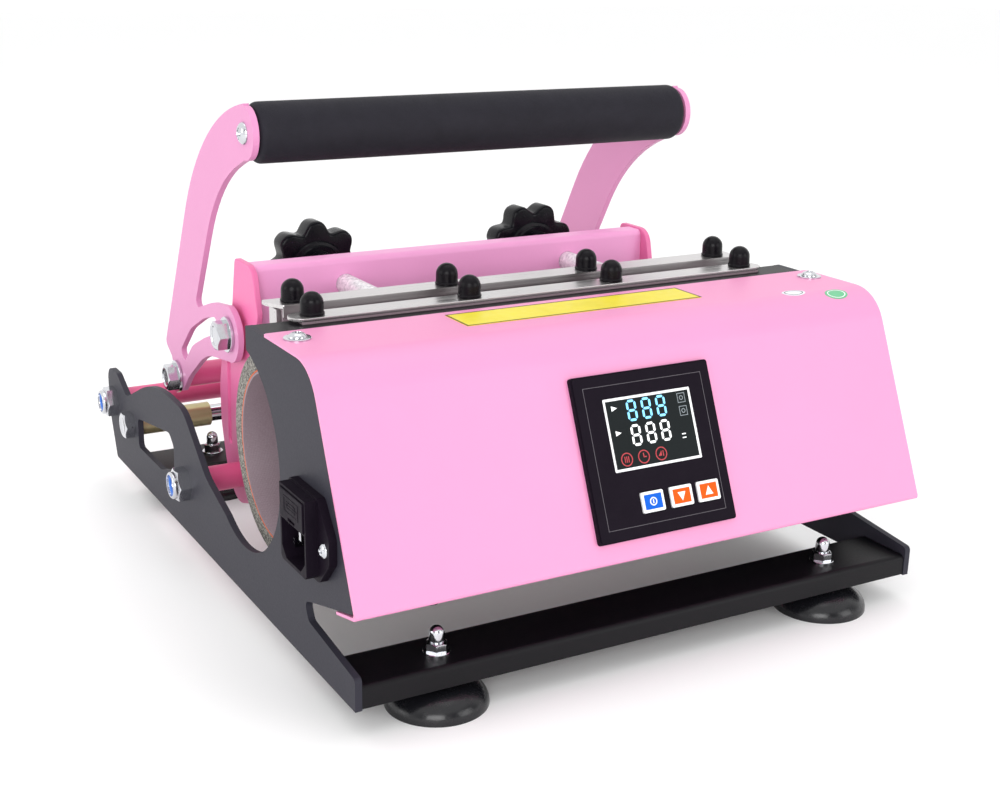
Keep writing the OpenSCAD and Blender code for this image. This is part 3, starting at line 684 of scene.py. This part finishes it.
# ---- Rails ----
def make_rail_caps(node, body):
    """Vinyl caps pulled over the bolt ends, each with a rolled foot."""
    caps = Solid()
    low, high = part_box(node)
    tall = (high.z - low.z) / MM
    r = (high.y - low.y) / 2 / MM
    for i in range(4):
        x = low.x + r * MM + (high.x - low.x - 2 * r * MM) * i / 3
        place = along(Vector((x, (low.y + high.y) / 2, low.z)), UP)
        side = [(0, 0), (r - 0.3, 0), (r, 0.3), (r, 0.9), (r - 0.35, 1.4), (r - 0.4, tall - 5.0)]
        caps.add(lathe(side + arc(0, tall - 5.0, r - 0.4, 10, 80, 7) + [(0, tall - 0.1)]), place)
    caps.piece(node + "_moulded", "black_rubber", body, CAP_VINYL, (node,))


# ---- Sleeve ----
BEND_FROM, BEND_TO, BEND_LAP = 248, 296, 4
HEATER_T, BOND_T = 1.3, 0.7


def sleeve_frame():
    """The sleeve's middle in the row frame, its bore and its ring thickness in millimetres."""
    clamp = next(m for m in frame["record"]["mounts"] if m["name"] == "mug_clamp")
    low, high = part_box("sponge_front")
    mid = Vector(clamp["pos_m"])
    outer = (mid.z - low.z) / MM
    return mid, clamp["dims"]["r_mm"], outer, (high.x - low.x) / 2 / MM


MID, BORE_R, SPONGE_R, SLEEVE_HALF = sleeve_frame()


def sleeve_place():
    """Local X and Y are the row's Y and Z; local Z runs along the bore."""
    return placed(MID, Vector((0, 1, 0)), UP, RIGHT)


def strip(inner, outer, widths):
    """A curved strip between two lines with as many points; each point has its half width along the bore."""
    rows = []
    edge = 0.3
    for side, inset, shrink in ((-1, 0, edge), (-1, edge, 0), (1, edge, 0), (1, 0, edge)):
        near, far = [], []
        for p, q, half in zip(inner, outer, widths):
            t = shrink * 0.5 / math.dist(p, q)
            z = side * (half - inset)
            near.append((p[0] + (q[0] - p[0]) * t, p[1] + (q[1] - p[1]) * t, z))
            far.append((q[0] - (q[0] - p[0]) * t, q[1] - (q[1] - p[1]) * t, z))
        rows.append(near + far[::-1])
    verts, faces = rings(rows)
    n = len(rows[0])
    last = len(verts) - n
    for k in range(n // 2 - 1):
        faces.append([k, k + 1, n - 2 - k, n - 1 - k])
        faces.append([last + n - 1 - k, last + n - 2 - k, last + k + 1, last + k])
    return verts, faces


def ring_strip(r0, r1, start, end, half, step=3):
    n = max(2, round(abs(end - start) / step))
    return strip(arc(0, 0, r0, start, end, n), arc(0, 0, r1, start, end, n), [half] * (n + 1))


def thick_line(points, thick):
    """The two edges of a line of that thickness; the first is on its left."""
    left, right = [], []
    for i, p in enumerate(points):
        a = points[max(i - 1, 0)]
        b = points[min(i + 1, len(points) - 1)]
        d = math.dist(a, b)
        nx, ny = -(b[1] - a[1]) / d * thick / 2, (b[0] - a[0]) / d * thick / 2
        left.append((p[0] + nx, p[1] + ny))
        right.append((p[0] - nx, p[1] - ny))
    return left, right


def lip_line(node, r, outwards, end_angle):
    """A flange under the rail, a lip and the bore to end_angle, with the half width at each point."""
    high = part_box(node)[1]
    top = [v.co for v in NODES[node].data.vertices if v.co.z > high.z - 3 * MM]
    ys = [v.y for v in top]
    lip, far = (min(ys), max(ys)) if outwards > 0 else (max(ys), min(ys))
    lip_half = max(v.x for v in top) / MM
    flange_z = (high.z - MID.z) / MM - HEATER_T / 2
    lip_y = (lip - MID.y) / MM + outwards * HEATER_T / 2
    far_y = (far - MID.y) / MM
    bend = 1.6
    start = math.degrees(math.acos(lip_y / r))
    line = [(far_y, flange_z), ((far_y + lip_y) / 2, flange_z)]
    line += arc(lip_y + outwards * bend, flange_z - bend, bend, 90, 90 + outwards * 90, 5)
    foot = r * math.sin(math.radians(start))
    line += [(lip_y, foot + (flange_z - bend - foot) * t) for t in (0.75, 0.5, 0.25, 0.06)]
    widths = [lip_half] * len(line)
    round_bore = arc(0, 0, r, start - outwards * 2, end_angle, max(4, round(abs(end_angle - start) / 3)))
    return line + round_bore, widths + [SLEEVE_HALF] * len(round_bore)


def make_sleeve():
    """The heater sheet and its sponge, in one bend from the front rail round to the rear rail."""
    place = sleeve_place()
    mid_r = BORE_R + HEATER_T / 2
    bond_r = BORE_R + HEATER_T
    sponge_in = bond_r + BOND_T
    rear_end = BEND_TO - 360
    front_line = lip_line("heater_front", mid_r, -1, BEND_FROM)
    rear_line = lip_line("heater_rear", mid_r, 1, rear_end)
    for name, body, line, node in (
        ("heater_sheet_front", "frame", front_line, "heater_front"),
        ("heater_sheet_rear", "clamp", rear_line, "heater_rear"),
    ):
        points, widths = line
        left, right = thick_line(points, HEATER_T)
        Solid().add(strip(left, right, widths), place).piece(name, "silicone", body, stands_for=(node,))
    spans = {
        "frame": ("front", 103, BEND_FROM, 0.0),
        "bend": ("bend", BEND_FROM - BEND_LAP, BEND_TO + BEND_LAP, 0.06),
        "clamp": ("rear", rear_end, 66, 0.0),
    }
    for body, (word, start, end, slim) in spans.items():
        layers = [
            ("bond_" + word, bond_r, sponge_in, "silicone", BOND, None, -0.05),
            ("sponge_sleeve_" + word, sponge_in, SPONGE_R, "sponge", None, word, 0.0),
        ]
        if word == "bend":
            layers.append(("heater_sheet_bend", BORE_R, bond_r, "silicone", None, None, 0.0))
        for name, r0, r1, slot, material, foam, short in layers:
            shape = ring_strip(r0 + slim, r1 - slim, start, end, SLEEVE_HALF - short - slim, 2)
            stands_for = ("sponge_" + word,) if foam in ("front", "rear") else ()
            rides = None if word == "bend" else body
            obj = Solid().add(shape, place).piece(name, slot, rides, material, stands_for)
            if word == "bend":
                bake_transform(obj)


# ---- Knobs and grip ----
LOBES, STAR_R, STAR_DEPTH, HUB_R = 8, 25.0, 5.0, 10.5
ROD_BORE, BORE_FLOOR = 5.1, 4.9


def star_row(inset, z, blend=1.0):
    """The lobed outline at height z; blend 0 is the hub's circle."""
    row = []
    for k in range(24 * LOBES):
        a = 2 * math.pi * k / (24 * LOBES)
        wave = ((1 - math.cos(LOBES * a)) / 2) ** 1.5
        r = STAR_R - inset - STAR_DEPTH * wave
        r = HUB_R + (r - HUB_R) * blend
        row.append((r * math.sin(a), r * math.cos(a), z))
    return row


def round_row(r, z):
    """A circle with as many points as a star row."""
    turns = [2 * math.pi * k / (24 * LOBES) for k in range(24 * LOBES)]
    return [(r * math.sin(a), r * math.cos(a), z) for a in turns]


def make_knob(node, body, turn):
    """A moulded star knob: bored hub towards the bar, lobes with rounded rims, a dished back."""
    low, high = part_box(node)
    at = Vector(JOINTS[body + "_turn"]["pos_m"])
    at.y = low.y
    depth = (high.y - low.y) / MM
    front, back, rim = depth - 13.4, depth - 0.8, 1.9
    floor = depth - BORE_FLOOR
    rows = [[(0, 0, floor)], round_row(ROD_BORE, floor), round_row(ROD_BORE, 0)]
    rows += [star_row(0, 0, 0), star_row(0, front - 1, 0), star_row(rim, front, 0.12)]
    for i in range(6):
        a = math.pi / 2 * i / 5
        rows.append(star_row(rim * (1 - math.sin(a)), front + rim * (1 - math.cos(a))))
    for i in range(6):
        a = math.pi / 2 * i / 5
        rows.append(star_row(rim * (1 - math.cos(a)), back - rim * (1 - math.sin(a))))
    rows.append(star_row(rim, back, 0.55))
    rows.append(star_row(rim, back - 1.4, 0.45))
    rows.append(star_row(rim, back - 1.4, 0.0))
    rows.append([(0, 0, back - 1.4)])
    knob = Solid()
    place = placed(at, RIGHT, -UP, Vector((0, 1, 0))) @ Matrix.Rotation(math.radians(turn), 4, "Z")
    knob.add(rings(rows), place)
    collar = [(15.2, front - 0.2), (14.6, front - 1.2), (13.2, front - 1.4), (12.6, front - 2.6)]
    knob.add(lathe([(HUB_R - 0.3, front - 0.2)] + collar + [(HUB_R - 0.3, front - 2.6)], closed=True), place)
    knob.add(lathe([(0, back - 2), (7.6, back - 2), (7.6, depth - 0.8), (6.6, depth), (0, depth)]), place)
    knob.piece(node + "_moulded", "black_gloss", body, stands_for=(node,))


def make_grip():
    """The foam grip, a little full at the middle, with rounded ends."""
    low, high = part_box("grip_foam")
    half = (high.x - low.x) / 2 / MM
    r = (high.z - low.z) / 2 / MM
    bore = 10.55
    steps = 40
    side = [
        (r - 0.12 * (2 * i / steps - 1) ** 2, -half + 3.5 + (2 * half - 7) * i / steps)
        for i in range(steps + 1)
    ]
    profile = [(bore, -half)] + [(x, z) for x, z in arc(r - 3.6, -half + 3.5, 3.45, -80, -10, 6)]
    profile += side + arc(r - 3.6, half - 3.5, 3.45, 10, 80, 6) + [(bore, half)]
    place = along(centre("grip_foam"), RIGHT)
    foam = Solid().add(lathe(profile, 64, closed=True), place)
    foam.piece("grip_sleeve", "grip_foam", "handle", stands_for=("grip_foam",))


# ---- Control panel ----
PANEL_N = -Vector(JOINTS["set_press"]["axis"]).normalized()
PANEL_V = PANEL_N.cross(RIGHT)


def panel_face(node):
    """Middle and size of a panel node's front face, in the row frame and in millimetres."""
    points = [(v.co.x, v.co.dot(PANEL_V), v.co.dot(PANEL_N)) for v in NODES[node].data.vertices]
    top = max(p[2] for p in points)
    face = [p for p in points if p[2] > top - 0.05 * MM]
    low = [min(p[i] for p in face) for i in (0, 1)]
    high = [max(p[i] for p in face) for i in (0, 1)]
    middle = RIGHT * (low[0] + high[0]) / 2 + PANEL_V * (low[1] + high[1]) / 2 + PANEL_N * top
    return placed(middle, RIGHT, PANEL_V, PANEL_N), (high[0] - low[0]) / MM, (high[1] - low[1]) / MM


DIGIT_W, DIGIT_H = 4.9, 9.1
SEGMENT = 1.05
PRINT_T = 0.06


def segment(x0, y0, x1, y1):
    """One bar of a digit, with pointed ends."""
    d = math.dist((x0, y0), (x1, y1))
    ux, uy = (x1 - x0) / d, (y1 - y0) / d
    gap, h = 0.30, SEGMENT / 2
    spots = [(gap, 0), (gap + h, h), (d - gap - h, h), (d - gap, 0), (d - gap - h, -h), (gap + h, -h)]
    return [(x0 + ux * s - uy * t, y0 + uy * s + ux * t) for s, t in spots]


def digit(solid, place, x, y):
    w, h = DIGIT_W / 2 - SEGMENT / 2, DIGIT_H / 2 - SEGMENT / 2
    lines = [
        (-w, h, w, h), (-w, 0, w, 0), (-w, -h, w, -h),
        (-w, 0, -w, h), (w, 0, w, h), (-w, -h, -w, 0), (w, -h, w, 0),
    ]
    for x0, y0, x1, y1 in lines:
        solid.add(prism(segment(x + x0, y + y0, x + x1, y + y1), 0, PRINT_T), place)


def disc_ring(x, y, r, wide, n=40):
    rows = []
    for radius, z in ((r, 0), (r, PRINT_T), (r - wide, PRINT_T), (r - wide, 0)):
        turn = [2 * math.pi * k / n for k in range(n)]
        rows.append([(x + radius * math.cos(a), y + radius * math.sin(a), z) for a in turn])
    return rings(rows, closed=True)


def bar(x, y, w, h):
    return block(x - w / 2, x + w / 2, y - h / 2, y + h / 2, 0, PRINT_T)


def make_display():
    """Two rows of digits, three round lamps and small unlettered marks, inside a white line."""
    place, wide, high = panel_face("controller_screen")
    place = place @ Matrix.Translation((0, 0, 0.02))
    digits_x = [wide * (u - 0.5) for u in (0.307, 0.475, 0.642)]
    for name, y, material in (("digits_upper", 0.30, LIT_BLUE), ("digits_lower", -0.041, LIT_WHITE)):
        row = Solid()
        for x in digits_x:
            digit(row, place, x, y * high)
        row.piece(name, "screen", "frame", material)
    lamps = Solid()
    icon_y = -0.347 * high
    for i, u in enumerate((0.152, 0.344, 0.544)):
        x = wide * (u - 0.5)
        lamps.add(disc_ring(x, icon_y, 2.9, 0.45), place)
        if i == 0:
            for k in (-1, 0, 1):
                lamps.add(bar(x + k * 0.9, icon_y, 0.4, 2.6), place)
        elif i == 1:
            lamps.add(bar(x, icon_y + 0.75, 0.45, 1.7), place)
            lamps.add(bar(x + 0.6, icon_y - 0.1, 1.6, 0.45), place)
        else:
            ramp = [(x - 1.5, icon_y - 0.9), (x + 0.2, icon_y - 0.9), (x + 0.2, icon_y + 1.3)]
            lamps.add(prism(ramp, 0, PRINT_T), place)
            lamps.add(bar(x + 1.0, icon_y, 0.4, 2.4), place)
    lamps.piece("display_lamps", "screen", "frame", LIT_RED)
    marks = Solid()
    for y in (0.365, 0.183):
        x = 0.387 * wide
        marks.add(border(x - 2, x + 2, y * high - 2.1, y * high + 2.1, 0.3, 0, PRINT_T), place)
        marks.add(disc_ring(x, y * high, 1.0, 0.35), place)
    marks.piece("display_boxes", "screen", "frame", LIT_GREY)
    pointers = Solid()
    for x, y in ((-0.385, 0.36), (-0.385, 0.02)):
        px, py = x * wide, y * high
        pointers.add(prism([(px - 1.4, py - 1.1), (px + 1.4, py), (px - 1.4, py + 1.1)], 0, PRINT_T), place)
    for k in (-1, 1):
        pointers.add(bar(0.342 * wide, -0.16 * high + k * 0.8, 1.9, 0.45), place)
    pointers.piece("display_pointers", "screen", "frame", LIT_WHITE)
    line = Solid().add(border(-wide / 2, wide / 2, -high / 2, high / 2, 1.1, 0, PRINT_T), place)
    line.piece("display_line", "screen", "frame", PRINT_WHITE)


def make_bezel_ridge():
    place, wide, high = panel_face("controller_bezel")
    inset = 4.2
    x, y = wide / 2 - inset, high / 2 - inset
    ridge = Solid().add(border(-x, x, -y, y, 0.25, -0.05, 0.12), place)
    ridge.piece("bezel_ridge", "black_plastic", "frame", RIDGE_LINE)


def make_key_faces():
    """A coloured field inside each white key, with a ring or a triangle on it."""
    for word, kind in (("set", "ring"), ("down", -1), ("up", 1)):
        node, body = word + "_button", word + "_key"
        place, wide, high = panel_face(node)
        x, y = wide / 2 - 1.25, high / 2 - 1.25
        Solid().add(block(-x, x, -y, y, -0.2, 0.05), place).piece(word + "_key_field", SLOTS[node], body)
        mark = Solid()
        if kind == "ring":
            mark.add(disc_ring(0, 0, 1.8, 0.5), place @ Matrix.Translation((0, 0, 0.05)))
            mark.add(bar(0, 0, 0.5, 1.7), place @ Matrix.Translation((0, 0, 0.05)))
        else:
            tip = 2.1 * kind
            spots = [(-2.0, -tip * 0.8), (2.0, -tip * 0.8), (0, tip)][::kind]
            mark.add(prism(spots, 0, PRINT_T), place @ Matrix.Translation((0, 0, 0.05)))
        mark.piece(word + "_key_mark", SLOTS[node], body, PRINT_WHITE)


# ---- Labels ----
COVER_BEND_R = 21.2


def cover_point(x, s, lift):
    """A point on the cover's outside: s runs forwards from where its top starts to bend down."""
    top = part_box("front_cover")[1].z / MM
    place, _, _ = panel_face("controller_screen")
    on_face = place.translation / MM - PANEL_N * (panel_face("controller_screen")[0].translation.dot(PANEL_N)
                                                  - COVER_PLANE) / MM
    slope = math.atan2(PANEL_V.z, PANEL_V.y)
    corner_y = on_face.y + (top - on_face.z) / math.tan(slope)
    start_y = corner_y + COVER_BEND_R * math.tan(slope / 2)
    a = min(max(s / COVER_BEND_R, 0), slope)
    r = COVER_BEND_R + lift
    y = start_y - r * math.sin(a) - min(s, 0)
    z = top - COVER_BEND_R + r * math.cos(a)
    past = max(s - COVER_BEND_R * slope, 0)
    return (x, y - past * math.cos(slope), z - past * math.sin(slope))


COVER_PLANE = panel_face("controller_screen")[0].translation.dot(PANEL_N) - 2.3 * MM
OVAL_HALF = (6.2, 4.0)
OVALS = (("oval_label_white", 0, 0.8, None), ("oval_label_green", 1, 7.3, LABEL_GREEN))


def oval_row(x, s0, size, lift):
    """One oval on the bend of the cover, of a given share of the label's size."""
    turn = [2 * math.pi * k / 48 for k in range(48)]
    return [
        cover_point(x + OVAL_HALF[0] * size * math.cos(a), s0 - OVAL_HALF[1] * size * math.sin(a), lift)
        for a in turn
    ]


def make_ovals():
    """Two unlettered oval labels that follow the bend of the cover."""
    low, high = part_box("oval_labels")
    xs = (low.x / MM + 6.5, high.x / MM - 8.6)
    for name, i, s0, material in OVALS:
        face = ((1.0, 0.0), (1.0, 0.1), (0.82, 0.12), (0.74, 0.12), (0.4, 0.12))
        rows = [oval_row(xs[i], s0, size, lift) for size, lift in face]
        rows.append([cover_point(xs[i], s0, 0.12)])
        solid = Solid().add(rings(rows), Matrix.Scale(MM, 4))
        stands_for = ("oval_labels",) if i == 0 else ()
        solid.piece(name, "label_white", "frame", material, stands_for)
        edge = ((0.80, 0.12), (0.80, 0.15), (0.72, 0.15), (0.72, 0.12))
        line = [oval_row(xs[i], s0, size, lift) for size, lift in edge]
        ink = Solid().add(rings(line, closed=True), Matrix.Scale(MM, 4))
        ink.piece(name + "_line", "label_white", "frame", LABEL_INK if material is None else PRINT_WHITE)


def make_label_border():
    low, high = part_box("label_plate")
    x, y = (high.x - low.x) / 2 / MM, (high.y - low.y) / 2 / MM
    place = along(Vector(((low.x + high.x) / 2, (low.y + high.y) / 2, high.z)), UP)
    place = placed(place.translation, RIGHT, Vector((0, 1, 0)), UP)
    line = Solid().add(border(-x, x, -y, y, 0.7, -0.05, 0.05), place)
    line.piece("label_border", "label_yellow", "frame", LABEL_INK)


def make_fuse_mark():
    """A moulded fuse sign on the fuse drawer: a box with a line through it."""
    low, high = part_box("fuse_drawer")
    at = Vector((low.x, (low.y + high.y) / 2, (low.z + high.z) / 2 + 0.6 * MM))
    place = placed(at, Vector((0, -1, 0)), UP, LEFT)
    mark = Solid()
    mark.add(border(-7.5, 7.5, -3.4, 3.4, 0.6, -0.05, 0.12), place)
    mark.add(border(-4.2, 4.2, -1.5, 1.5, 0.55, -0.05, 0.12), place)
    mark.add(block(-6.2, 6.2, -0.22, 0.22, -0.05, 0.12), place)
    mark.piece("fuse_sign", "black_plastic", "fuse_tray")


# ---- Stage ----
FLOOR_HALF = 6
BAND_HEIGHT = 0.42
SKY_LEVELS = (0.3, 1.13)


def shade_world(tree):
    """White all round, with a darker band above the horizon on the panel's side for metal contrast."""
    nodes, links = tree.nodes, tree.links
    sky = nodes["Background"]
    split = nodes.new("ShaderNodeSeparateXYZ")
    links.new(nodes.new("ShaderNodeTexCoord").outputs["Generated"], split.inputs[0])
    off_band = nodes.new("ShaderNodeMath")
    off_band.operation = "SUBTRACT"
    off_band.inputs[1].default_value = BAND_HEIGHT
    links.new(split.outputs[2], off_band.inputs[0])
    distance = nodes.new("ShaderNodeMath")
    distance.operation = "ABSOLUTE"
    links.new(off_band.outputs[0], distance.inputs[0])
    factors = []
    for value, dark, bright in ((split.outputs[1], -0.55, 0.0), (distance.outputs[0], 0.12, 0.30)):
        ramp = nodes.new("ShaderNodeMapRange")
        ramp.interpolation_type = "SMOOTHSTEP"
        ramp.inputs[1].default_value = dark
        ramp.inputs[2].default_value = bright
        links.new(value, ramp.inputs[0])
        factors.append(ramp.outputs[0])
    lighter = nodes.new("ShaderNodeMath")
    lighter.operation = "MAXIMUM"
    links.new(factors[0], lighter.inputs[0])
    links.new(factors[1], lighter.inputs[1])
    level = nodes.new("ShaderNodeMapRange")
    level.inputs[3].default_value, level.inputs[4].default_value = SKY_LEVELS
    links.new(lighter.outputs[0], level.inputs[0])
    links.new(level.outputs[0], sky.inputs["Strength"])
    sky.inputs["Color"].default_value = (1, 1, 1, 1)


def make_stage():
    floor_mesh = bpy.data.meshes.new("floor")
    corners = [(x * FLOOR_HALF, y * FLOOR_HALF, 0) for x, y in ((-1, -1), (1, -1), (1, 1), (-1, 1))]
    floor_mesh.from_pydata(corners, [], [(0, 1, 2, 3)])
    floor = bpy.data.objects.new("floor", floor_mesh)
    bpy.context.scene.collection.objects.link(floor)
    s = Shader("floor", (0.97, 0.97, 0.97), 0.6)
    s.shade(s.noise(3), 0.995, 1.0)
    floor_mesh.materials.append(s.material)
    world = bpy.data.worlds.new("studio")
    world.use_nodes = True
    shade_world(world.node_tree)
    bpy.context.scene.world = world
    bpy.context.scene.view_settings.view_transform = "Standard"


def softbox(name, at, towards, size, watts):
    data = bpy.data.lights.new(name, "AREA")
    data.shape = "RECTANGLE"
    data.size, data.size_y = size
    data.energy = watts
    light = bpy.data.objects.new(name, data)
    bpy.context.scene.collection.objects.link(light)
    aim = Vector(towards) - Vector(at)
    light.matrix_world = Matrix.Translation(at) @ aim.to_track_quat("-Z", "Y").to_matrix().to_4x4()


def make_lights():
    softbox("key", (-0.9, -1.6, 0.75), (0, 0, 0.1), (1.1, 0.8), 15.5)
    softbox("fill", (0.9, -1.4, 0.6), (0, 0, 0.1), (0.8, 0.7), 5)
    softbox("top", (0.1, 0.1, 1.7), (0, 0, 0.1), (1.2, 0.9), 3)
    softbox("side", (-1.7, 0.2, 0.6), (0, 0, 0.1), (0.7, 0.7), 3)


make_camera()
make_stage()
make_lights()
dress_nodes()
make_arm_bolts("lug_bolts", "pusher", joint_at("handle_hinge"))
make_arm_bolts("link_bolts", "link", centre("link_front_tube"))
make_nyloc_nuts()
make_cross_bolts()
make_acorn_nuts()
make_cover_screws()
make_inlet_screws()
make_grip_screws()
make_rail_caps("front_rail_caps", "frame")
make_rail_caps("rear_rail_caps", "clamp")
make_sleeve()
make_knob("left_star_knob", "left_knob", 0)
make_knob("right_star_knob", "right_knob", 180 / LOBES)
make_grip()
make_display()
make_bezel_ridge()
make_key_faces()
make_ovals()
make_label_border()
make_fuse_mark()
